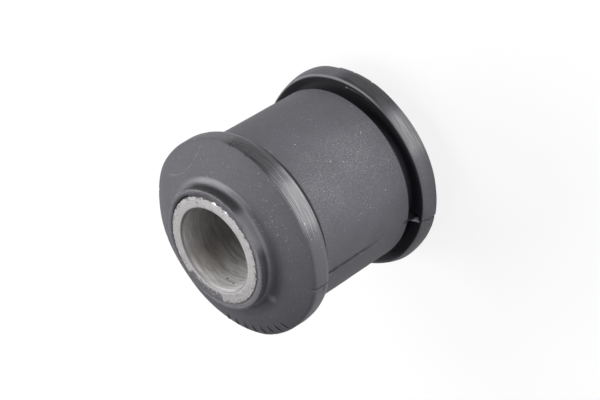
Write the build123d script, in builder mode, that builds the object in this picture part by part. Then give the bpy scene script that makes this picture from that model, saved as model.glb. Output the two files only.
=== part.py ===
"""Rubber-metal bush: a plain steel sleeve with a flanged rubber body moulded round it.

Millimetres, with +Z along the axis. The bush stands on one end of its sleeve, and the
origin is the centre of that end face. The mould opened along the XZ plane, so +X and -X
pass through the two mould lines. Both ends of the bush are alike.
"""
import os

from build123d import *

# ---------------------------------------------------------------- driving dimensions
# Steel sleeve
bush_length = 43.0
bore_diameter = 16.0
sleeve_wall = 2.5
bore_chamfer = 0.35

# Rubber collar, which lines the sleeve right up to its ends
rubber_setback = 0.12           # the rubber stops this far short of each sleeve end
collar_wall = 1.3
collar_length = 2.3
collar_edge_chamfer = 0.2
collar_root_chamfer = 0.8

# Flange: a dome from the collar out to a conical rim, with a lip that turns inwards
dome_fall = 3.05                # along the axis, from the collar to the rim
dome_bulge = 0.35               # how far the dome stands above a straight cone
rim_width = 2.15
rim_taper = 0.8                 # radius gained across the rim
rim_edge_chamfer = 0.5
flange_overhang = 2.9           # from the body's surface out to the flange's widest line
lip_length = 1.3                # along the axis, from the widest line to the lip's edge
lip_taper = 0.9                 # radius lost over that length
lip_edge_chamfer = 0.2
cup_width = 1.7                 # radial width of the lip's inner, undercut face
cup_depth = 1.2                 # how far that face is undercut along the axis

# Body, which fills the eye, and the groove on each side of it that lets a flange fold
body_diameter = 34.6
body_edge_chamfer = 0.35
groove_mouth = 1.3              # along the axis, from the lip's edge to the body's shoulder
groove_depth = 2.4              # below the body's surface
groove_root_chamfer = 0.8
groove_slope = 0.3              # fall of the flange's inner face over the groove's depth

# Marks that the split mould leaves
mould_line_width = 0.6
mould_line_height = 0.12
flash_web_thickness = 0.3
flash_web_recess = 0.25         # the web's free edge lies this far below the groove's mouth
rim_nick_width = 0.5
rim_nick_depth = 0.3

# ---------------------------------------------------------------- sizes that follow
half_length = bush_length / 2
bore_radius = bore_diameter / 2
sleeve_radius = bore_radius + sleeve_wall
collar_radius = sleeve_radius + collar_wall
body_radius = body_diameter / 2
widest_radius = body_radius + flange_overhang
rim_edge_radial = widest_radius - rim_taper
lip_radial = widest_radius - lip_taper
cup_radial = lip_radial - cup_width
groove_floor_radial = body_radius - groove_depth

# Heights above the middle of the bush
rubber_end = half_length - rubber_setback
dome_root = half_length - collar_length
rim_edge = dome_root - dome_fall
widest_line = rim_edge - rim_width
lip_edge = widest_line - lip_length
cup_edge = lip_edge + cup_depth
groove_top = cup_edge + groove_slope
body_shoulder = lip_edge - groove_mouth

# Half section through the middle of the bush: local x is the radius, local y the height
middle = Plane(origin=(0, 0, half_length), x_dir=(1, 0, 0), z_dir=(0, -1, 0))

os.makedirs("parts", exist_ok=True)


def corner(sketch, radial, height):
    """The corner of a half section that lies at this radius and height."""
    return sketch.vertices().sort_by_distance(Vector(radial, height))[0]


# ---------------------------------------------------------------- inner sleeve
# A length of tube, turned true: square ends, a chamfer inside and a sharp edge outside.
with BuildPart() as inner_sleeve:
    with BuildSketch():
        Circle(sleeve_radius)
        Circle(bore_radius, mode=Mode.SUBTRACT)
    extrude(amount=bush_length)
    bore_edges = inner_sleeve.edges().filter_by(GeomType.CIRCLE).group_by(SortBy.RADIUS)[0]
    chamfer(bore_edges, bore_chamfer)

# ---------------------------------------------------------------- rubber body
# One moulding, turned from half of its section and mirrored: body, groove, lip, dome, collar.
with BuildPart() as rubber_body:
    with BuildSketch(middle) as half_section:
        with BuildLine():
            inner_side = Polyline(
                (cup_radial, cup_edge),
                (groove_floor_radial, groove_top),
                (groove_floor_radial, body_shoulder),
                (body_radius, body_shoulder),
                (body_radius, 0),
                (sleeve_radius, 0),
                (sleeve_radius, rubber_end),
                (collar_radius, rubber_end),
                (collar_radius, dome_root),
            )
            dome = SagittaArc(inner_side @ 1, (rim_edge_radial, rim_edge), dome_bulge)
            Polyline(
                dome @ 1,
                (widest_radius, widest_line),
                (lip_radial, lip_edge),
                inner_side @ 0,
            )
        make_face()
        chamfer(corner(half_section, groove_floor_radial, groove_top), groove_root_chamfer)
        chamfer(corner(half_section, groove_floor_radial, body_shoulder), groove_root_chamfer)
        chamfer(corner(half_section, body_radius, body_shoulder), body_edge_chamfer)
        chamfer(corner(half_section, lip_radial, lip_edge), lip_edge_chamfer)
        chamfer(corner(half_section, rim_edge_radial, rim_edge), rim_edge_chamfer)
        chamfer(corner(half_section, collar_radius, dome_root), collar_root_chamfer)
        chamfer(corner(half_section, collar_radius, rubber_end), collar_edge_chamfer)
        mirror(about=Plane.XZ)
    revolve(axis=Axis.Z)

    # Flash webs: where the mould halves met, a thin skin of rubber closes each groove.
    with BuildSketch(middle) as flash_webs:
        with BuildLine():
            Polyline(
                (body_radius - flash_web_recess, body_shoulder - body_edge_chamfer),
                (body_radius - flash_web_recess, groove_top),
                (groove_floor_radial - groove_root_chamfer, groove_top),
                (groove_floor_radial - groove_root_chamfer, body_shoulder - body_edge_chamfer),
                close=True,
            )
        make_face()
        mirror(about=Plane.XZ)
        mirror(about=Plane.YZ)
    extrude(amount=flash_web_thickness / 2, both=True)

    # Mould lines: a low flat bead runs the length of the body on each side.
    with BuildSketch(Plane.XY.offset(half_length - body_shoulder + body_edge_chamfer)):
        with Locations((body_radius, 0), (-body_radius, 0)):
            Rectangle(2 * mould_line_height, mould_line_width)
    extrude(amount=2 * (body_shoulder - body_edge_chamfer))

    # Nicks: the mould's split also leaves a shallow vee across each rim.
    with BuildSketch(Plane.XY):
        with BuildLine():
            Polyline(
                (widest_radius - rim_nick_depth, 0),
                (widest_radius + rim_nick_depth, rim_nick_width),
                (widest_radius + rim_nick_depth, -rim_nick_width),
                close=True,
            )
        make_face()
        mirror(about=Plane.YZ)
    extrude(amount=bush_length, mode=Mode.SUBTRACT)

inner_sleeve.part.label = "inner_sleeve"
export_step(inner_sleeve.part, "parts/inner_sleeve.step")

rubber_body.part.label = "rubber_body"
export_step(rubber_body.part, "parts/rubber_body.step")

print(f"sleeve {2 * sleeve_radius:.1f} x {bore_diameter:.1f} x {bush_length:.1f} mm")
print(f"body {body_diameter:.1f} mm, flanges {2 * widest_radius:.1f} mm")
print(f"body between its shoulders {2 * body_shoulder:.1f} mm")
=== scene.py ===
# %% [markdown]
# # A rubber-metal bush
# A bush like this is pressed into the eye of a suspension arm and held by a bolt. It is two
# pieces: a steel sleeve for the bolt, and one rubber moulding round it with a flange at each
# end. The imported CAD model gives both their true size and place. This lesson keeps that size
# and makes each piece again with the rounded edges, flash, scuffs and burrs of the real one.

# %% The frame
import math

import bmesh
import bpy
import numpy as np
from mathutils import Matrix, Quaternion, Vector


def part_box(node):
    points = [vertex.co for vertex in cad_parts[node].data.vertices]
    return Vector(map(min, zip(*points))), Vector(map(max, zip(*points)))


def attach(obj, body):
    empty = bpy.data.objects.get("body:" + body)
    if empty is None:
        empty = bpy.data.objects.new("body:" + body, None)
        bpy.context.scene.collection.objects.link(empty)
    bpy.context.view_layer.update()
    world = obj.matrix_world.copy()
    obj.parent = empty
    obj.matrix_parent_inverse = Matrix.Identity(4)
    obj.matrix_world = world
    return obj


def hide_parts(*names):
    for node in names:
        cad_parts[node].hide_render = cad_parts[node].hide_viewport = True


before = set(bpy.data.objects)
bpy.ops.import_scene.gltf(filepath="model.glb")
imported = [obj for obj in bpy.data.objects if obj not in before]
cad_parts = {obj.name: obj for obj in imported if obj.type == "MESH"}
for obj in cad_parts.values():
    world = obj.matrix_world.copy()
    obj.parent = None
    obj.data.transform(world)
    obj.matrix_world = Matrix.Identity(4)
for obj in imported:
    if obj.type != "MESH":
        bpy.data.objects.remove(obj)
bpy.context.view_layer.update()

MM = 0.001
LENGTH, HALF = 43.0, 21.5  # mm along the axis: the near end face, and the middle of the bush
BORE, SLEEVE, COLLAR, BODY, FLANGE = 8.0, 10.5, 11.8, 17.3, 20.0  # radii in mm
RUBBER_END = 42.88  # mm: the rubber stops a little short of the sleeve's end face
sleeve_low, sleeve_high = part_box("inner_sleeve")
rubber_low, rubber_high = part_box("rubber_body")
print("sleeve from", sleeve_low, "to", sleeve_high)
print("rubber from", rubber_low, "to", rubber_high)

# %% [markdown]
# The camera looks down on one end of the bush from 29 cm away with a long lens, so that round
# forms stay nearly true ellipses. It is rolled, so that the axis of the bush, which stands
# upright here, runs down to the left in the picture.

# %% The camera
def outwards(azimuth, elevation):
    """The unit vector at this azimuth and elevation, in degrees."""
    turn, rise = math.radians(azimuth), math.radians(elevation)
    return Vector((math.cos(rise) * math.cos(turn), math.cos(rise) * math.sin(turn), math.sin(rise)))


aim, camera_distance, roll = Vector((6.3, 8.1, 28.7)) * MM, 0.290, math.radians(-121.7)
away = outwards(54.35, 37.09)
lens = bpy.data.cameras.new("camera")
lens.lens = 99.0
lens.clip_start = 0.01
camera = bpy.data.objects.new("camera", lens)
bpy.context.collection.objects.link(camera)
camera.location = aim + camera_distance * away
camera.rotation_mode = "QUATERNION"
camera.rotation_quaternion = away.to_track_quat("Z", "Y") @ Quaternion((0, 0, 1), roll)
bpy.context.scene.camera = camera
print("camera at", [round(v, 5) for v in camera.location])

# %% [markdown]
# Shader maths reads best as plain expressions. A `Wire` is one output socket with Python's
# operators on it, so `1 - mask` adds a Math node. A `Finish` is one material: its `node`
# method sets a node's settings first, and then gives its sockets a value or a wire.

# %% Wires and finishes
class Wire:
    """An output socket: arithmetic on it adds Math nodes to its finish."""

    def __init__(self, finish, socket):
        self.finish, self.socket = finish, socket

    def math(self, operation, *others):
        sockets = dict(enumerate((self,) + others))
        return self.finish.node("ShaderNodeMath", {"operation": operation}, sockets)

    def __add__(self, other):
        return self.math("ADD", other)

    def __mul__(self, other):
        return self.math("MULTIPLY", other)

    def __sub__(self, other):
        return self.math("SUBTRACT", other)

    def __rsub__(self, other):
        return self * -1 + other

    def __truediv__(self, other):
        return self.math("DIVIDE", other)

    def __pow__(self, other):
        return self.math("POWER", other)

    __radd__, __rmul__ = __add__, __mul__


class Finish:
    """A material, with one method that adds any node to it."""

    def __init__(self, name):
        self.material = bpy.data.materials.new(name)
        self.material.use_nodes = True
        self.tree = self.material.node_tree
        self.tree.nodes.clear()

    def node(self, kind, settings=None, sockets=None, output=0):
        made = self.tree.nodes.new(kind)
        for key, value in (settings or {}).items():
            setattr(made, key, value)
        for key, value in (sockets or {}).items():
            if isinstance(value, Wire):
                self.tree.links.new(value.socket, made.inputs[key])
            else:
                made.inputs[key].default_value = value
        return Wire(self, made.outputs[output]) if made.outputs else None

    def step(self, wire, start, end):
        """A soft step: 0 before start and 1 after end, or the other way round if end is less."""
        sockets = {"Value": wire, "From Min": start, "From Max": end}
        if end < start:
            sockets.update({"From Min": end, "From Max": start, "To Min": 1.0, "To Max": 0.0})
        return self.node("ShaderNodeMapRange", {"interpolation_type": "SMOOTHSTEP"}, sockets)

    def band(self, wire, low, high, soft):
        """1 between low and high, falling to 0 over soft outside them."""
        return self.step(wire, low - soft, low) * self.step(wire, high + soft, high)

    def mix(self, factor, first, second, blend="MIX"):
        """Two colours or vectors mixed by a factor."""
        settings = {"data_type": "RGBA", "blend_type": blend, "clamp_factor": True}
        return self.node("ShaderNodeMix", settings, {0: factor, 6: first, 7: second}, output=2)

    def noise(self, place, scale, detail=2.0, roughness=0.5):
        """Noise from 0 to 1 at a place, which is given in millimetres."""
        sockets = {"Vector": place, "Scale": scale, "Detail": detail, "Roughness": roughness}
        return self.node("ShaderNodeTexNoise", {}, sockets)

    def vector(self, x, y, z):
        return self.node("ShaderNodeCombineXYZ", {}, {0: x, 1: y, 2: z})

    def spot(self, place, azimuth, radius, height, size, ragged=0.0):
        """1 inside a spot of this size, in mm, that is centred here on the surface."""
        turn = math.radians(azimuth)
        centre = (radius * math.cos(turn), radius * math.sin(turn), height)
        away = self.node("ShaderNodeVectorMath", {"operation": "DISTANCE"}, {0: place, 1: centre}, 1)
        return self.step(away + ragged, size, size * 0.55)

    def bump(self, height, distance, normal=None):
        """A Bump node whose height is in millimetres times distance."""
        sockets = {"Height": height, "Distance": distance * MM}
        if normal is not None:
            sockets["Normal"] = normal
        return self.node("ShaderNodeBump", {}, sockets)

    def surface(self, shader):
        self.node("ShaderNodeOutputMaterial", {}, {"Surface": shader})
        print(self.material.name, "has", len(self.tree.nodes), "nodes")

    def tools(self):
        """The methods that its expressions use, to be given short names of their own."""
        return self.step, self.band, self.mix, self.noise, self.vector, self.spot, self.bump


def where(finish):
    """The place on the bush: millimetres, and as radius, azimuth in degrees and height."""
    place = finish.node("ShaderNodeTexCoord", output=3)
    place = finish.node("ShaderNodeVectorMath", {"operation": "SCALE"}, {0: place, "Scale": 1000.0})
    x, y, z = (finish.node("ShaderNodeSeparateXYZ", {}, {0: place}, output=i) for i in range(3))
    radius = (x * x + y * y) ** 0.5
    azimuth = y.math("ARCTAN2", x) * math.degrees(1)
    return place, x, y, z, radius, azimuth


# %% [markdown]
# The floor is a plain white table top. A camera ray sees a white that is mostly a glow, so
# the background stays even, and partly the lit surface, so the bush keeps its shadow.
# Reflections see little of that glow, so the rubber stays dark and the steel keeps its grey.

# %% The floor and the world
bpy.ops.object.select_all(action="DESELECT")
bpy.ops.mesh.primitive_plane_add(size=6.0)
floor = bpy.context.object
floor.name = "floor"

table_top = Finish("table_top")
camera_ray, glossy_ray, through_ray = (
    table_top.node("ShaderNodeLightPath", output=i) for i in (0, 3, 6)
)
glow_share, glow_in_reflections = 0.86, 0.15
seen = camera_ray.math("MAXIMUM", glossy_ray * glow_in_reflections).math("MAXIMUM", through_ray)
lit = table_top.node("ShaderNodeBsdfDiffuse", {}, {"Color": (0.8, 0.8, 0.8, 1)})
glow = table_top.node("ShaderNodeEmission", {}, {"Color": (1, 1, 1, 1), "Strength": 1.0})
both = table_top.node("ShaderNodeMixShader", {}, {0: seen * glow_share, 1: lit, 2: glow})
table_top.surface(both)
floor.data.materials.append(table_top.material)

world = bpy.data.worlds.new("studio")
world.use_nodes = True
bpy.context.scene.world = world
background = world.node_tree.nodes["Background"]
background.inputs["Color"].default_value = (1, 1, 1, 1)
light_path = world.node_tree.nodes.new("ShaderNodeLightPath")
levels = (("Is Camera Ray", 1.0), ("Is Transmission Ray", 1.0), ("Is Glossy Ray", 0.08))
other_level = 0.03
strength = None
for ray, level in levels:  # each kind of ray sees its own level, and any other the last one
    scaled = world.node_tree.nodes.new("ShaderNodeMath")
    scaled.operation, scaled.inputs[1].default_value = "MULTIPLY", level
    world.node_tree.links.new(light_path.outputs[ray], scaled.inputs[0])
    larger = world.node_tree.nodes.new("ShaderNodeMath")
    larger.operation, larger.inputs[1].default_value = "MAXIMUM", other_level
    world.node_tree.links.new(scaled.outputs[0], larger.inputs[0])
    if strength is not None:
        world.node_tree.links.new(strength, larger.inputs[1])
    strength = larger.outputs[0]
world.node_tree.links.new(strength, background.inputs["Strength"])
bpy.context.scene.view_settings.view_transform = "Standard"

# %% The lamps
middle = Vector((0, 0, HALF)) * MM


def softbox(name, azimuth, elevation, distance, size, power):
    """A square lamp facing the middle of the bush, in degrees, metres and watts."""
    out = outwards(azimuth, elevation)
    lamp = bpy.data.lights.new(name, "AREA")
    lamp.size, lamp.energy = size, power
    holder = bpy.data.objects.new(name, lamp)
    bpy.context.collection.objects.link(holder)
    holder.location = middle + distance * out
    holder.rotation_mode = "QUATERNION"
    holder.rotation_quaternion = out.to_track_quat("Z", "Y")
    print(name, "gives", power, "W")
    return holder


softbox("left_softbox", 200, 45, 0.8, 0.4, 5.7)
softbox("upper_softbox", 145, 45, 0.8, 0.4, 3.5)
softbox("side_softbox", 0, 12, 0.8, 0.4, 2.1)
softbox("top_softbox", 0, 88, 0.8, 0.4, 1.4)
front_panel = softbox("front_panel", 54, 8, 0.8, 0.9, 4.0)
front_panel.data.shape, front_panel.data.size_y = "RECTANGLE", 0.3

# A small light panel lies face up on the table in front of the bush, hidden from the camera.
# It lifts the undersides of the rims and the side of the body that the camera sees.
panel = softbox("table_panel", 0, 90, 0.0, 0.045, 0.036)
panel.data.shape, panel.data.size_y = "RECTANGLE", 0.062
panel.location = Vector((36.2, 50.4, 1.0)) * MM
panel.rotation_mode = "XYZ"
panel.rotation_euler = (math.pi, 0, math.radians(54.3))
panel.visible_camera = False

# %% [markdown]
# Both pieces are turned forms. One vertex is extruded along half of the section, its corners
# are rounded with a vertex bevel, and the line is cut fine enough to carry the marks of real
# rubber and steel before a Screw modifier turns it about the axis.

# %% Turning a section
SAME_PLACE = 1e-6  # metres: vertices nearer than this are one


def choose(mesh, wanted):
    """Selects just the vertices of an edit mesh that wanted(place) is true for."""
    mesh.select_mode = {"VERT"}
    for vertex in mesh.verts:
        vertex.select = bool(wanted(vertex.co))
    mesh.select_flush(True)
    mesh.select_flush(False)


def turned(name, corners, rounds, longest, steps, plain):
    """Turns a closed section into a piece with this many steps round the axis.

    A corner is its radius and height, and a round adds its size and how many pieces it has.
    Edges are cut down to the longest allowed, except where plain is true. All are in mm.
    """
    bpy.ops.object.select_all(action="DESELECT")
    bpy.ops.mesh.primitive_plane_add(size=MM)
    piece = bpy.context.object
    piece.name = piece.data.name = name
    bpy.ops.object.mode_set(mode="EDIT")
    bpy.ops.mesh.select_all(action="SELECT")
    bpy.ops.mesh.merge(type="CENTER")
    places = [Vector((radius, 0, height)) * MM for radius, height in corners]
    bpy.ops.transform.translate(value=places[0])
    for before, after in zip(places, places[1:]):
        bpy.ops.mesh.extrude_region_move(TRANSFORM_OT_translate={"value": after - before})
    bpy.ops.mesh.select_mode(type="VERT")
    mesh = bmesh.from_edit_mesh(piece.data)
    ends = (places[0], places[-1])
    choose(mesh, lambda co: any((co - end).length < SAME_PLACE for end in ends))
    bpy.ops.mesh.edge_face_add()
    for radius, height, size, pieces in rounds:
        spot = Vector((radius, 0, height)) * MM
        mesh = bmesh.from_edit_mesh(piece.data)
        choose(mesh, lambda co: (co - spot).length < SAME_PLACE)
        bpy.ops.mesh.bevel(
            offset=size * MM, offset_type="OFFSET", segments=pieces, affect="VERTICES"
        )
    for _ in range(7):  # each pass halves the edges that are still too long
        mesh = bmesh.from_edit_mesh(piece.data)
        mesh.select_mode = {"EDGE"}
        for edge in mesh.edges:
            halfway = (edge.verts[0].co + edge.verts[1].co) / 2
            edge.select = edge.calc_length() > longest * MM and not plain(halfway)
        mesh.select_flush_mode()
        if any(edge.select for edge in mesh.edges):
            bpy.ops.mesh.subdivide(number_cuts=1)
    bpy.ops.object.mode_set(mode="OBJECT")
    screw = piece.modifiers.new("turn", "SCREW")
    screw.axis, screw.angle, screw.steps = "Z", 2 * math.pi, steps
    screw.render_steps, screw.use_merge_vertices, screw.merge_threshold = steps, True, SAME_PLACE
    bpy.ops.object.modifier_apply(modifier=screw.name)
    bpy.ops.object.mode_set(mode="EDIT")
    bpy.ops.mesh.select_all(action="SELECT")
    bpy.ops.mesh.normals_make_consistent(inside=False)
    bpy.ops.object.mode_set(mode="OBJECT")
    bpy.ops.object.shade_smooth()
    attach(piece, "root")
    print(name, "has", len(piece.data.vertices), "vertices,", len(piece.data.polygons), "faces")
    return piece


def mirrored(half, changed):
    """A half section above the middle, then its mirror image with some corners changed."""
    return half + [changed.get((r, h), (r, LENGTH - h)) for r, h in reversed(half)]


# %% [markdown]
# The rubber is one moulding. From the sleeve's end it runs down a short collar and out along
# a shallow dome to a rim. The rim widens to a lip that is undercut, so that the flange can
# fold when the bush is pressed in, and a deep groove parts the flange from the plain body.

# %% The rubber section
def dome(inner, outer, bulge, count):
    """Points along a shallow arc that stands above the straight line by bulge."""
    (r1, h1), (r2, h2) = inner, outer
    slope = math.atan2(h2 - h1, r2 - r1)
    points = []
    for i in range(1, count):
        t = i / count
        rise = 4 * bulge * t * (1 - t)
        radius = r1 + (r2 - r1) * t - rise * math.sin(slope)
        points.append((radius, h1 + (h2 - h1) * t + rise * math.cos(slope)))
    return points


# Corners of the upper half, from the collar out over the dome and in again to the body.
collar_edge, collar_root = (COLLAR, RUBBER_END), (COLLAR, 40.7)
rim_edge, crease, lip_edge, undercut = (19.6, 37.78), (19.68, 35.1), (19.3, 34.2), (17.6, 35.4)
groove_top, groove_foot, shoulder = (14.9, 35.7), (14.9, 32.9), (BODY, 32.9)
half_section = [
    (SLEEVE, RUBBER_END), collar_edge, collar_root, *dome(collar_root, rim_edge, 0.35, 8),
    rim_edge, crease, lip_edge, undercut, groove_top, groove_foot, shoulder,
]
upper_rounds = [
    (*collar_edge, 0.35, 3), (*collar_root, 0.7, 5), (*rim_edge, 0.45, 3), (*crease, 0.3, 2),
    (*lip_edge, 0.22, 2), (*undercut, 0.3, 2), (*groove_top, 0.8, 3), (*groove_foot, 0.8, 3),
    (*shoulder, 0.35, 3),
]
# The far flange is fuller than the near one, nearly out to the CAD model's widest line, and
# its crease is rounder.
fuller, fuller_crease = {rim_edge: (19.95, 5.3), crease: (20.15, 7.2)}, 1.0
lower_rounds = [
    (*fuller.get((r, h), (r, LENGTH - h)), fuller_crease if (r, h) == crease else size, n + 2)
    for r, h, size, n in upper_rounds
]
rubber = turned(
    "rubber_moulding", mirrored(half_section, fuller), upper_rounds + lower_rounds, 1.05, 640,
    plain=lambda co: co.x < (SLEEVE + 0.1) * MM,
)
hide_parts("rubber_body")

# %% [markdown]
# A turned form is too perfect. Real rubber wavers by a few hundredths of a millimetre, and
# the split of the mould leaves a seam down the body and a nick across each rim. The vertices
# are read as radius, azimuth and height, moved, and put back, which is quicker than sculpting
# and keeps every mark in its place. Nothing moves out past the CAD model's widest line.

# %% Reading and moving vertices
def read_rings(piece):
    """The vertices of a piece as radius in mm, azimuth in degrees and height in mm."""
    places = np.empty(3 * len(piece.data.vertices))
    piece.data.vertices.foreach_get("co", places)
    x, y, z = places.reshape(-1, 3).T / MM
    return np.hypot(x, y), np.degrees(np.arctan2(y, x)), z


def put_back(piece, radius, azimuth, height):
    turn = np.radians(azimuth)
    places = np.stack([radius * np.cos(turn), radius * np.sin(turn), height], 1) * MM
    piece.data.vertices.foreach_set("co", places.ravel())
    piece.data.update()


def hump(value, centre, reach):
    """1 at the centre, falling smoothly to 0 at reach from it."""
    return np.clip(1 - ((value - centre) / reach) ** 2, 0, 1) ** 2


def arc(azimuth, centre, radius):
    """The distance along the surface, in mm, from the line at the azimuth centre."""
    return np.radians((azimuth - centre + 180) % 360 - 180) * radius


def waver(azimuth, lobes, seed):
    """A closed wave round the axis, about -1 to 1, from waves with these numbers of lobes."""
    phase = np.random.default_rng(seed).uniform(0, 2 * math.pi, len(lobes))
    waves = [np.sin(n * np.radians(azimuth) + p) for n, p in zip(lobes, phase)]
    return np.sum(waves, 0) / math.sqrt(len(lobes))


# %% The marks of the mould
TICK_PITCH, TICKS_FROM, TICKS_TO = 7.0, -88.0, -33.5  # degrees: a row of plain raised strokes
SEAMS = {0: 0.9, 180: 0.5}  # azimuth of each mould seam, and how strong it is
WIDEST = 20.19  # mm: no vertex of the rubber goes past this radius
radius, azimuth, height = read_rings(rubber)
off_middle, near_end, upwards = np.abs(height - HALF), height > HALF, np.sign(height - HALF)
on_body = (radius > 17.0) & (off_middle < 11.2)
on_rim = (radius > 19.0) & (off_middle > 13.0)
on_dome = (radius > 12.2) & (off_middle > 16.0)
grown, raised = np.zeros_like(radius), np.zeros_like(radius)  # mm, outwards and along the axis

# Long and short waves over the body, the rims, the domes and the end faces.
slow, quick = waver(azimuth, (2, 3, 7), 1), waver(azimuth + 3 * height, (11, 17), 2)
grown += on_body * (0.035 * slow + 0.015 * quick)
grown -= on_rim * 0.03 * np.abs(waver(azimuth, (3, 5, 8, 13), 3))
raised += upwards * on_dome * 0.04 * waver(azimuth, (3, 4, 9), 4)
raised -= upwards * (off_middle > 21.2) * 0.05 * np.abs(waver(azimuth, (5, 9, 23), 5))

# The flanges are not quite round. The near one is drawn in at two places and swollen at a
# third, and the far one is drawn in at three. Each row is an azimuth, a change and a reach.
near_dents = ((136, -0.42, 14), (-29, -0.5, 11), (-148, 0.32, 11))
far_dents = ((150, -0.38, 9), (60, -0.25, 11), (-20, -0.22, 7))
outer = np.clip((radius - 16.5) / 2.5, 0, 1) * (off_middle > 12.4)
for this_end, dents in ((near_end, near_dents), (~near_end, far_dents)):
    for centre, change, reach in dents:
        grown += outer * this_end * change * hump(arc(azimuth, centre, FLANGE), 0, reach)

# Each seam is a groove between two beads, with a nick across both rims. The far rim also
# steps in on one side of its nick.
for seam, strength in SEAMS.items():
    along = arc(azimuth, seam + 1.0, BODY)
    fade = 0.35 + 0.65 * np.clip(np.maximum((height - 24) / 6, (11.5 - height) / 2), 0, 1)
    grown += on_body * strength * 0.09 * (hump(along, -0.32, 0.3) + hump(along, 0.42, 0.3))
    grown -= on_body * strength * 0.22 * fade * hump(along, 0.05, 0.28)
    grown -= on_rim * near_end * strength * 0.34 * hump(arc(azimuth, seam + 4, FLANGE), 0, 0.42)
    past = arc(azimuth, seam + 1.5, FLANGE)
    grown -= on_rim * ~near_end * strength * 0.3 * hump(past, 0, 0.4)
    grown -= on_rim * ~near_end * strength * 0.14 * (past < 0) * np.clip(1 + past / 6, 0, 1)

# Small nicks at the edge of both rims, and one more step in the far rim.
for nick in (88, 100, 214, 307):
    at_edge = hump(height, 37.6, 0.7) + hump(height, 5.4, 0.7)
    grown -= on_rim * at_edge * 0.16 * hump(arc(azimuth, nick, 19.6), 0, 0.35)
past = arc(azimuth, 110, FLANGE)
grown -= on_rim * ~near_end * 0.16 * (past > 0) * np.clip(1 - past / 3, 0, 1)

# The strokes stand on the near dome. A gap opens between rubber and sleeve on its far side.
tick_turn = ((azimuth + 180) / TICK_PITCH) % 1 - 0.5
tick_zone = (azimuth > TICKS_FROM) & (azimuth < TICKS_TO) & (radius > 17.0) & (radius < 18.9)
raised += (height > 37.0) * tick_zone * 0.26 * hump(tick_turn, 0, 0.14)
gap = hump(arc(azimuth, 153, SLEEVE), 0, 4.2) * (height > 42.4) * (radius < 10.6)
raised -= 0.5 * np.sqrt(gap)
put_back(rubber, np.minimum(radius + grown, WIDEST), azimuth, height + raised)
print("rubber moved by up to", round(float(np.abs(grown).max()), 2), "mm")

# %% [markdown]
# Where the mould halves met, a thin skin of rubber closes each groove. It is a flat outline,
# extruded to its thickness, and made again for both ends and both sides.

# %% Flash in the grooves
def flash_web(name, outline, thickness, flip, side):
    """A thin plate of flash. The outline is in mm, radius and height, at the near end.

    Flip puts it at the far end, and side, 1 or -1, at either seam.
    """
    bpy.ops.object.select_all(action="DESELECT")
    bpy.ops.mesh.primitive_circle_add(vertices=len(outline), radius=MM, fill_type="NGON")
    web = bpy.context.object
    web.name = web.data.name = name
    for vertex, (r, h) in zip(web.data.vertices, outline):
        h = LENGTH - h if flip else h
        vertex.co = Vector((side * r, -thickness / 2, h)) * MM
    bpy.ops.object.mode_set(mode="EDIT")
    bpy.ops.mesh.select_all(action="SELECT")
    bpy.ops.mesh.extrude_region_move(TRANSFORM_OT_translate={"value": (0, thickness * MM, 0)})
    bpy.ops.mesh.select_all(action="SELECT")
    bpy.ops.mesh.bevel(offset=0.03 * MM, offset_type="OFFSET", segments=1, affect="EDGES")
    bpy.ops.mesh.normals_make_consistent(inside=False)
    bpy.ops.object.mode_set(mode="OBJECT")
    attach(web, "root")
    return web


web_outline = [
    (14.2, 32.6), (16.6, 32.5), (17.12, 32.75), (17.3, 33.3), (18.2, 34.0), (18.9, 34.3),
    (18.5, 34.75), (17.6, 35.5), (14.2, 35.8),
]
webs = [
    flash_web("flash_far_front", web_outline, 0.2, True, 1),
    flash_web("flash_near_front", web_outline, 0.16, False, 1),
    flash_web("flash_far_back", web_outline, 0.16, True, -1),
    flash_web("flash_near_back", web_outline, 0.2, False, -1),
]
print(len(webs), "webs of flash")

# %% [markdown]
# A thread of flash hangs along the undercut of the far lip, with a small blob near its end. It
# is a tiny ring of eight vertices, spun round the axis and then made thick and thin.

# %% The thread of flash
bpy.ops.object.select_all(action="DESELECT")
thread_radius, thread_height, thread_steps = 17.62, 7.7, 84
thread_start, thread_sweep, fade, blob_at = 66.0, 42.0, 3, 99.5  # degrees
bpy.ops.mesh.primitive_circle_add(vertices=8, radius=0.05 * MM, rotation=(math.pi / 2, 0, 0))
thread = bpy.context.object
thread.name = thread.data.name = "flash_thread"
bpy.ops.object.transform_apply(location=False, rotation=True, scale=False)
bpy.ops.object.mode_set(mode="EDIT")
bpy.ops.mesh.select_all(action="SELECT")
bpy.ops.transform.translate(value=Vector((thread_radius, 0, thread_height)) * MM)
bpy.ops.mesh.spin(
    steps=thread_steps, angle=math.radians(thread_sweep), center=(0, 0, 0), axis=(0, 0, 1)
)
bpy.ops.mesh.select_all(action="SELECT")
bpy.ops.mesh.normals_make_consistent(inside=False)
bpy.ops.object.mode_set(mode="OBJECT")
radius, azimuth, height = read_rings(thread)
azimuth = azimuth if azimuth.mean() > 0 else -azimuth
run = azimuth + thread_start
swell = 0.75 + 0.5 * waver(4 * run, (2, 5), 8) + 4.0 * hump(run, blob_at, 1.6)
starting = np.clip((run - thread_start) / fade, 0.05, 1)
ending = np.clip((thread_start + thread_sweep - run) / fade, 0.05, 1)
swell *= starting * ending
middle_line = thread_radius + 0.12 * waver(3 * run, (3, 4), 9)
radius = middle_line + (radius - thread_radius) * swell
put_back(thread, radius, run, thread_height + (height - thread_height) * swell)
bpy.ops.object.shade_smooth()
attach(thread, "root")
print("thread from", round(float(run.min())), "to", round(float(run.max())), "degrees")

# %% [markdown]
# The sleeve is cut from steel tube and faced square. Its bore has a small chamfer for the
# bolt, and its outer edge keeps the ragged burr that the facing tool leaves.

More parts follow.
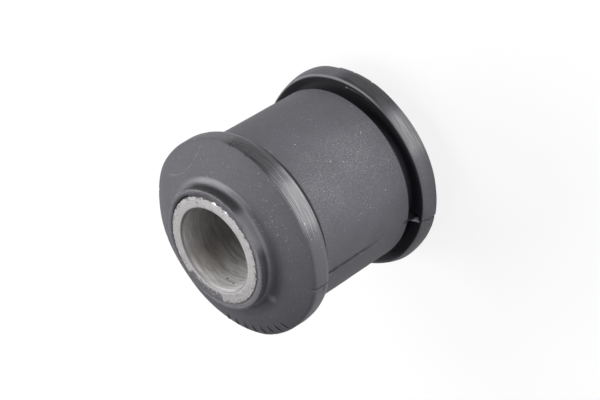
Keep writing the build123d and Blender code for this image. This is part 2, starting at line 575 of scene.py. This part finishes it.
# %% The sleeve section
MOUTH = BORE + 0.35  # mm: radius of the bore's mouth, outside its chamfer
sleeve_corners = [
    (BORE, 42.65), (MOUTH, LENGTH), (SLEEVE, LENGTH), (SLEEVE, 0.0), (MOUTH, 0.0), (BORE, 0.35),
]
sleeve_rounds = [
    (MOUTH, LENGTH, 0.06, 2), (SLEEVE, LENGTH, 0.09, 3),
    (MOUTH, 0.0, 0.06, 2), (SLEEVE, 0.0, 0.09, 3),
]
sleeve = turned(
    "steel_sleeve", sleeve_corners, sleeve_rounds, 0.75, 720,
    plain=lambda co: co.x > 10.45 * MM and MM < co.z < (LENGTH - 1) * MM,
)
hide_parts("inner_sleeve")

# %% The burred edge
radius, azimuth, height = read_rings(sleeve)
at_edge = (radius > 10.3) & (np.abs(height - HALF) > 21.0)
worst = 0.35 + 0.65 * np.clip(hump(arc(azimuth, 75, SLEEVE), 0, 9.5) * 1.6, 0, 1)
ragged = waver(azimuth, (41, 67, 97, 131, 163), 6)
bitten = np.clip(waver(azimuth, (13, 29, 53), 7) - 0.7, 0, 1)
radius = radius + at_edge * worst * (0.045 * ragged - 0.05 - 0.16 * bitten)
sunk = at_edge * worst * (0.03 * np.abs(ragged) + 0.1 * bitten)
radius = np.minimum(radius, SLEEVE)
put_back(sleeve, radius, azimuth, height - np.sign(height - HALF) * sunk)
print("edge radius", round(float(radius[at_edge].min()), 2), "to", round(float(radius.max()), 2))

# %% [markdown]
# Moulded rubber looks plain and is not. It has a soft mottle, a pale bloom that gathers in
# specks, and a fine grain. Painted highlights and painted shade lie in patches on the rims and
# the collar, in streaks that follow the turn of the flange. The grooves are painted nearly
# black, as shade.
# Each mask below is 1 where a mark is and 0 elsewhere, and mixes one colour into the tone.

# %% The rubber finish
rubber_finish = Finish("dark_rubber")
step, band, mix, noise, vector, spot, bump = rubber_finish.tools()
place, x, y, z, radius, azimuth = where(rubber_finish)

# The parts of the surface. Azimuths run from 0, the seam that the camera sees, towards the top.
off_middle = (z - HALF).math("ABSOLUTE")
near_end = step(z, 30.0, 31.0)
collar = step(radius, 11.5, 11.7) * step(radius, 13.4, 12.5)
collar = collar * step(off_middle, 18.0, 18.4)
end_face = step(off_middle, 21.1, 21.3)
body = step(radius, 16.9, 17.1) * step(off_middle, 11.4, 11.1)
groove = band(off_middle, 11.25, 14.25, 0.15) * step(radius, 19.2, 18.7)
band_edge = step(off_middle, 12.75, 12.95) * (1 - near_end)
far_rim = step(radius, 18.9, 19.2) * band_edge * step(off_middle, 16.4, 16.2)
near_rim = step(radius, 18.8, 19.5) * band(off_middle, 12.9, 16.3, 0.4) * near_end
rim = (near_rim + far_rim).math("MINIMUM", 1.0)
# Each rim has a painted highlight over a band of azimuths, and painted shade just past it.
near_rim_highlight = near_rim * band(azimuth, 42.0, 60.0, 8.0) * 0.9
far_rim_highlight = far_rim * band(azimuth, 46.0, 61.0, 9.0)
rim_shade = near_rim * band(azimuth, 76.0, 98.0, 10.0)
rim_shade = rim_shade + far_rim * band(azimuth, 74.0, 99.0, 9.0)
rim_highlight = (near_rim_highlight + far_rim_highlight).math("MINIMUM", 1.0)

# Noises, some of them drawn out along the turn of the flange.
mottle = noise(place, 0.22, 4.0, 0.62)
grain = noise(place, 3.2, 4.0, 0.7)
along_turn = vector(x * 0.16, y * 0.16, z * 3.6)
turn_streak = noise(along_turn, 1.0, 4.0, 0.65)
thin_streak = noise(vector(x * 0.1, y * 0.1, z * 9.0), 1.0, 2.0, 0.5)
dust = noise(place, 2.3, 2.0, 0.55)
dust_fall = noise(place, 0.16, 2.0, 0.5)

# Mottle, grain, and the bloom in coarse specks and in fine ones.
tone = mix(mottle, (0.051, 0.049, 0.057, 1), (0.083, 0.081, 0.095, 1))
tone = mix(step(grain, 0.35, 0.75) * 0.3, tone, (0.12, 0.12, 0.13, 1))
specks = step(dust + dust_fall * 0.16, 0.77, 0.81)
tone = mix(specks * 0.55, tone, (0.30, 0.30, 0.32, 1))
fine = noise(place, 5.5, 1.0, 0.4)
fine = step(fine + dust_fall * 0.3, 0.70, 0.82)
fine = fine * (0.25 + 0.75 * body * band(azimuth, 38.0, 66.0, 22.0))
tone = mix(fine * 0.6, tone, (0.17, 0.17, 0.18, 1))

# Painted highlights and painted shade on the rims, streaked along the turn, and a painted highlight
# along the far lip.
streak_mask = step(turn_streak, 0.35, 0.7)
highlight_patch = mix(streak_mask, (0.115, 0.113, 0.120, 1), (0.20, 0.197, 0.206, 1))
tone = mix(rim_highlight, tone, highlight_patch)
tone = mix(rim_shade * 0.95, tone, mix(streak_mask, (0.005, 0.005, 0.006, 1), (0.036, 0.034, 0.041, 1)))
# The far lip's edge gets a painted highlight.
lip_highlight = band(off_middle, 12.6, 13.0, 0.08) * step(radius, 18.8, 19.05)
lip_highlight = lip_highlight * (1 - near_end) * band(azimuth, 84.0, 150.0, 18.0)
tone = mix(lip_highlight * 0.6, tone, (0.21, 0.215, 0.23, 1))

# The collar: its side has a painted highlight, painted shade and a painted shadow in turn, and its
# root a painted highlight, streaked.
side = collar * band(off_middle, 19.5, 21.2, 0.3)
tone = mix(side * band(azimuth, 38.0, 62.0, 14.0) * 0.5, tone, (0.2, 0.2, 0.21, 1))
tone = mix(side * band(azimuth, 78.0, 125.0, 12.0) * 0.85, tone, (0.010, 0.010, 0.012, 1))
shade = collar * band(off_middle, 20.1, 21.2, 0.25)
tone = mix(shade * band(azimuth, -28.0, 26.0, 16.0) * 0.85, tone, (0.014, 0.014, 0.017, 1))
root = band(radius, 12.05, 12.9, 0.3) * band(off_middle, 18.4, 19.6, 0.3)
root = root * band(azimuth, 74.0, 120.0, 14.0)
tone = mix(root * (0.3 + 0.4 * streak_mask), tone, (0.2, 0.2, 0.215, 1))

# Thin scuffs on the near rim, painted bright only where the rim's painted highlight falls, and dust
# on the end faces, which are a little lilac.
scuff_highlight_band = near_rim * band(azimuth, 38.0, 68.0, 8.0)
scuff_highlights = scuff_highlight_band * step(thin_streak, 0.56, 0.66)
tone = mix(scuff_highlights * 0.55, tone, (0.42, 0.42, 0.44, 1))
lilac = mix(end_face, (1, 1, 1, 1), (1.06, 1.03, 1.05, 1))
tone = mix(1.0, tone, lilac, "MULTIPLY")
turned_lines = noise(vector(radius * 4.5, x * 0.1, y * 0.1), 1.0, 2.0)
dusty = step(turned_lines, 0.5, 0.62) * 0.4 + step(grain, 0.5, 0.66) * 0.5
tone = mix(end_face * dusty, tone, (0.19, 0.185, 0.19, 1))

# Painted shade in the deep places: the grooves, darker on one side, and the gap beside the sleeve;
# and a painted shadow on the body just under the lip.
groove_darker_side = step((y * 0.94 - x * 0.34) / radius, 0.3, 0.9)
groove_shade_tone = mix(groove_darker_side, (0.045, 0.046, 0.058, 1), (0.009, 0.009, 0.012, 1))
tone = mix(groove * 0.97, tone, groove_shade_tone)
gap_shade = band(azimuth, 136.0, 170.0, 5.0) * step(radius, 10.95, 10.75)
tone = mix(gap_shade * near_end, tone, (0.002, 0.002, 0.002, 1))
shadow_under_lip = body * step(z, 32.15, 32.4) * band(azimuth, 5.0, 95.0, 25.0)
tone = mix(shadow_under_lip, tone, (0.004, 0.004, 0.005, 1))

# %% Seam, scratch, strokes and flecks
# The seam is a cut painted dark with shade, that fades in the middle and widens towards both
# ends, with a broken pale line beside it. It crosses each rim as a nick, also painted dark with
# shade.
seam_fade = step(z, 16.0, 25.0) * 0.9 + step(z, 12.2, 10.8)
seam_fade = seam_fade * step(noise(place, 0.9, 2.0), 0.2, 0.5)
seam_off = (y - 0.32).math("ABSOLUTE") - step(z, 25.0, 31.0) * 0.14
seam_off = seam_off - step(z, 12.6, 10.8) * 0.16
seam_shade = step(seam_off, 0.42, 0.26) * body * seam_fade
tone = mix(seam_shade * 0.95, tone, (0.008, 0.008, 0.009, 1))
seam_light = step((y + 0.22).math("ABSOLUTE"), 0.24, 0.1) * body
seam_light = seam_light * step(noise(place, 0.9, 2.0), 0.54, 0.62)
tone = mix(seam_light * 0.6, tone, (0.26, 0.26, 0.28, 1))
near_nick_shade = near_rim * step((y - 1.4).math("ABSOLUTE"), 0.34, 0.16)
far_nick_shade = far_rim * step((y - 0.5).math("ABSOLUTE"), 0.26, 0.12)
nick = (near_nick_shade + far_nick_shade).math("MINIMUM", 1.0) * step(x, 5.0, 10.0)
tone = mix(nick * 0.8, tone, (0.01, 0.01, 0.011, 1))

# The scratch on the dome is part of a circle, seen along the axis.
scratch_x, scratch_y, scratch_radius = -20.3, 15.35, 10.86
from_centre = ((x - scratch_x) ** 2 + (y - scratch_y) ** 2) ** 0.5
scratch = step((from_centre - scratch_radius).math("ABSOLUTE"), 0.14, 0.04)
scratch = scratch * step(noise(place, 0.7, 2.0), 0.3, 0.6)
scratch = scratch * step(z, 37.0, 37.6) * band(azimuth, 118.0, 165.0, 3.0)
tone = mix(scratch * 0.22, tone, (0.3, 0.3, 0.31, 1))

# Each raised stroke has a painted highlight on top and a painted shadow beside its foot.
tick_turn = ((azimuth + 180.0) / TICK_PITCH).math("FRACT") - 0.5
tick_zone = step(z, 37.0, 37.3) * band(azimuth, TICKS_FROM + 1, TICKS_TO - 1, 0.5)
tick_zone = tick_zone * band(radius, 17.2, 18.7, 0.2)
tick_highlights = step(tick_turn.math("ABSOLUTE"), 0.11, 0.06) * tick_zone * near_end
tick_shadow = step((tick_turn - 0.13).math("ABSOLUTE"), 0.09, 0.05) * tick_zone * near_end
tone = mix(tick_highlights * 0.4, tone, (0.17, 0.17, 0.18, 1))
tone = mix(tick_shadow, tone, (0.012, 0.012, 0.013, 1))

# Painted shade round the collar's foot towards azimuth -30 and over the side of the bush towards
# azimuth -60, and single marks: a nick painted dark as shade, white flecks and a pale scuff.
collar_foot_shade = band(radius, 12.0, 13.6, 0.9) * band(off_middle, 17.5, 19.6, 0.5)
collar_foot_shade = collar_foot_shade * step((x * 0.87 - y * 0.5) / radius, 0.2, 0.9)
tone = mix(collar_foot_shade * 0.28, tone, (0.026, 0.027, 0.033, 1))
low_side_shade = step((x * 0.5 - y * 0.87) / radius, -0.3, 0.9) * step(radius, 12.5, 14.0)
tone = mix(low_side_shade * 0.3, tone, (0.03, 0.03, 0.036, 1))
nick_spot_shade = spot(place, 2.0, 19.6, 35.7, 0.62, grain * 0.3)
tone = mix(nick_spot_shade * 0.7, tone, (0.012, 0.012, 0.013, 1))
white_fleck = spot(place, 41.8, 19.6, 37.2, 0.28, grain * 0.15)
tone = mix(white_fleck * 0.8, tone, (0.5, 0.5, 0.5, 1))
for turn_at, height in ((62.7, 23.8), (68.3, 14.2), (31.0, 15.5), (83.0, 27.0)):
    fleck = spot(place, turn_at, BODY, height, 0.26, grain * 0.15)
    tone = mix(fleck * 0.7, tone, (0.4, 0.4, 0.4, 1))
pale_scuff = spot(place, -18.5, 13.0, 40.4, 2.3, grain * 1.2 + turn_streak * 0.8)
tone = mix(pale_scuff * 0.45, tone, (0.2, 0.2, 0.21, 1))

# The rims and the collar are smoother than the rest, and the grooves are rougher.
rough = 0.66 + mottle * 0.08 - (rim * 0.2 + collar * 0.14) + groove * 0.2
normal = bump(grain, 0.05)
normal = bump(turn_streak * (rim_highlight + rim_shade), 0.05, normal)
rubber_finish.surface(rubber_finish.node("ShaderNodeBsdfPrincipled", {}, {
    "Base Color": tone, "Roughness": rough, "Normal": normal, "Specular IOR Level": 0.4,
    "Coat Weight": (rim_highlight + rim_shade) * 0.22 + collar * 0.12, "Coat Roughness": 0.22,
}))
rubber.data.materials.append(rubber_finish.material)

# %% [markdown]
# Flash is so thin that it dries pale. It gets a lighter grey of its own, with a waxy edge.

# %% The flash finish
flash_finish = Finish("pale_flash")
step, band, mix, noise, vector, spot, bump = flash_finish.tools()
place, _, _, _, radius, _ = where(flash_finish)
waxy = noise(place, 1.5, 3.0, 0.6)  # and nearly black inside the groove
tone = mix(waxy, (0.08, 0.08, 0.085, 1), (0.34, 0.34, 0.36, 1))
# Inside the groove the flash is painted nearly black, as shade.
tone = mix(step(radius, 17.9, 17.5), tone, (0.01, 0.01, 0.012, 1))
flash_finish.surface(flash_finish.node("ShaderNodeBsdfPrincipled", {}, {
    "Base Color": tone, "Roughness": 0.45 + waxy * 0.2, "Normal": bump(waxy, 0.08),
}))
for piece in (thread, *webs):
    piece.data.materials.append(flash_finish.material)

# %% [markdown]
# The faced end of the sleeve is satin steel with fine pits. Its outer edge is bitten and dark
# where rubber flash clings to it, with a painted glint along the burr, and the bore shows the
# rings that the drill left, painted light and shade, and a little rust near the mouth.

# %% The steel finish
steel_finish = Finish("faced_steel")
step, band, mix, noise, vector, spot, bump = steel_finish.tools()
place, x, y, z, radius, azimuth = where(steel_finish)
off_middle = (z - HALF).math("ABSOLUTE")
near_end = step(z, 30.0, 31.0)
face = step(off_middle, 21.3, 21.42)
bore = step(radius, MOUTH, 8.1) * (1 - face)
mottle = noise(place, 0.6, 4.0, 0.6)
grain = noise(place, 4.0, 4.0, 0.65)
pits = step(noise(place, 4.5, 2.0, 0.5), 0.60, 0.70)
rings = noise(vector(x * 0.12, y * 0.12, z * 2.6), 1.0, 4.0, 0.7)
face_rings = noise(vector(radius * 5.0, x * 0.08, y * 0.08), 1.0, 2.0)

# The faced end: mottled, with a painted highlight on the camera's side, and grain, blots and pits.
tone = mix(mottle, (0.28, 0.269, 0.273, 1), (0.44, 0.427, 0.43, 1))
camera_side_highlight = step((x * 0.6 + y * 0.8) / radius, -0.1, 0.9) * face
tone = mix(camera_side_highlight * 0.2, tone, (0.66, 0.645, 0.65, 1))
tone = mix(step(grain, 0.3, 0.7) * 0.35, tone, (0.17, 0.163, 0.166, 1))
blots = step(noise(place, 1.7, 4.0, 0.7), 0.57, 0.70) * face
tone = mix(blots * 0.45, tone, (0.13, 0.124, 0.127, 1))
tone = mix(pits * 0.6, tone, (0.07, 0.065, 0.067, 1))

# The bore: the drill's rings, a painted lit side, grime, rings painted bright as highlights, a mouth
# painted dark as shade, and rust.
tone = mix(bore * step(rings, 0.45, 0.7) * 0.4, tone, (0.16, 0.155, 0.15, 1))
bore_lit_side = band(azimuth, -95.0, -38.0, 45.0) * step(z, 20.0, 38.0)
bore_tone_and_lit_side = mix(bore_lit_side, (0.35, 0.335, 0.33, 1), (0.92, 0.90, 0.89, 1))
tone = mix(bore * (0.9 - 0.25 * step(rings, 0.5, 0.75)), tone, bore_tone_and_lit_side)
grime = noise(vector(x * 0.24, y * 0.24, z * 1.5), 1.0, 5.0, 0.72)
grime = step(grime, 0.42, 0.62) * bore
tone = mix(grime * 0.42, tone, (0.12, 0.112, 0.106, 1))
# Drill rings painted bright as highlights on the lit side.
drill_ring_highlights = noise(vector(x * 0.1, y * 0.1, z * 4.2), 1.0, 2.0, 0.5)
drill_ring_highlights = step(drill_ring_highlights, 0.58, 0.66) * bore * band(azimuth, -75.0, 70.0, 15.0)
tone = mix(drill_ring_highlights * 0.6, tone, (0.85, 0.84, 0.83, 1))
# The mouth's chamfer is painted dark, as shade, to dim its highlight.
mouth_shade = band(radius, 8.04, 8.38, 0.04) * step(off_middle, 21.0, 21.15)
tone = mix(mouth_shade * 0.6, tone, (0.10, 0.097, 0.098, 1))
rust = spot(place, -118.0, BORE, 39.0, 6.0, mottle * 4.0)
tone = mix(rust * 0.18, tone, (0.30, 0.20, 0.15, 1))

# The outer edge: bites and blotches all round, a film of rubber on one side, and dark spots.
bite = noise(place, 1.6, 3.0, 0.7)
edge = step(radius + bite * 1.3, 10.92, 11.04) * face
blotch = step(noise(place, 1.1, 3.0, 0.65), 0.52, 0.62)
edge = edge + blotch * step(radius + bite * 1.6, 10.5, 10.9) * face * 0.7
film = band(azimuth, -119.0, -71.0, 2.0) * near_end * face
film = film * step(radius + bite * 2.2 + grain * 0.8, 10.5, 10.8)
film = film * (0.45 + 0.55 * step(noise(place, 2.4, 3.0, 0.6), 0.38, 0.52))
dark = (edge + film).math("MINIMUM", 1.0)
for turn_at, reach, height, size in (
    (122, 9.3, LENGTH, 0.42), (-28, 8.66, LENGTH, 0.3), (-22, 9.8, LENGTH, 0.28),
    (-45, 9.9, LENGTH, 0.3), (49, 10.3, LENGTH, 0.55), (102, 10.3, LENGTH, 0.4),
    (-81.7, BORE, 39.75, 0.46), (-74, BORE, 40.1, 0.3), (-67, BORE, 40.3, 0.44),
    (-12, 9.9, LENGTH, 0.35),
):
    dark = dark.math("MAXIMUM", spot(place, turn_at, reach, height, size, grain * 0.25) * 0.9)

# A painted glint on the burr, a bright broken line on the edge.
glint = band(azimuth, 77.0, 98.0, 1.5) * near_end
glint = glint * step(radius + bite * 1.1 + grain * 0.5, 10.95, 11.1)
glint = glint * step(noise(place, 1.3, 2.0), 0.5, 0.6)
tone = mix(dark, tone, (0.075, 0.072, 0.078, 1))
tone = mix(glint, tone, (0.95, 0.93, 0.92, 1))
rough = 0.54 + mottle * 0.12 - glint * 0.2 + dark * 0.15
normal = bump(grain, 0.03)
normal = bump(rings * bore, 0.12, normal)
normal = bump(face_rings * face, 0.03, normal)
steel_finish.surface(steel_finish.node("ShaderNodeBsdfPrincipled", {}, {
    "Base Color": tone, "Metallic": 0.85 - dark * 0.8 - bore * 0.55, "Roughness": rough,
    "Normal": normal,
}))
sleeve.data.materials.append(steel_finish.material)
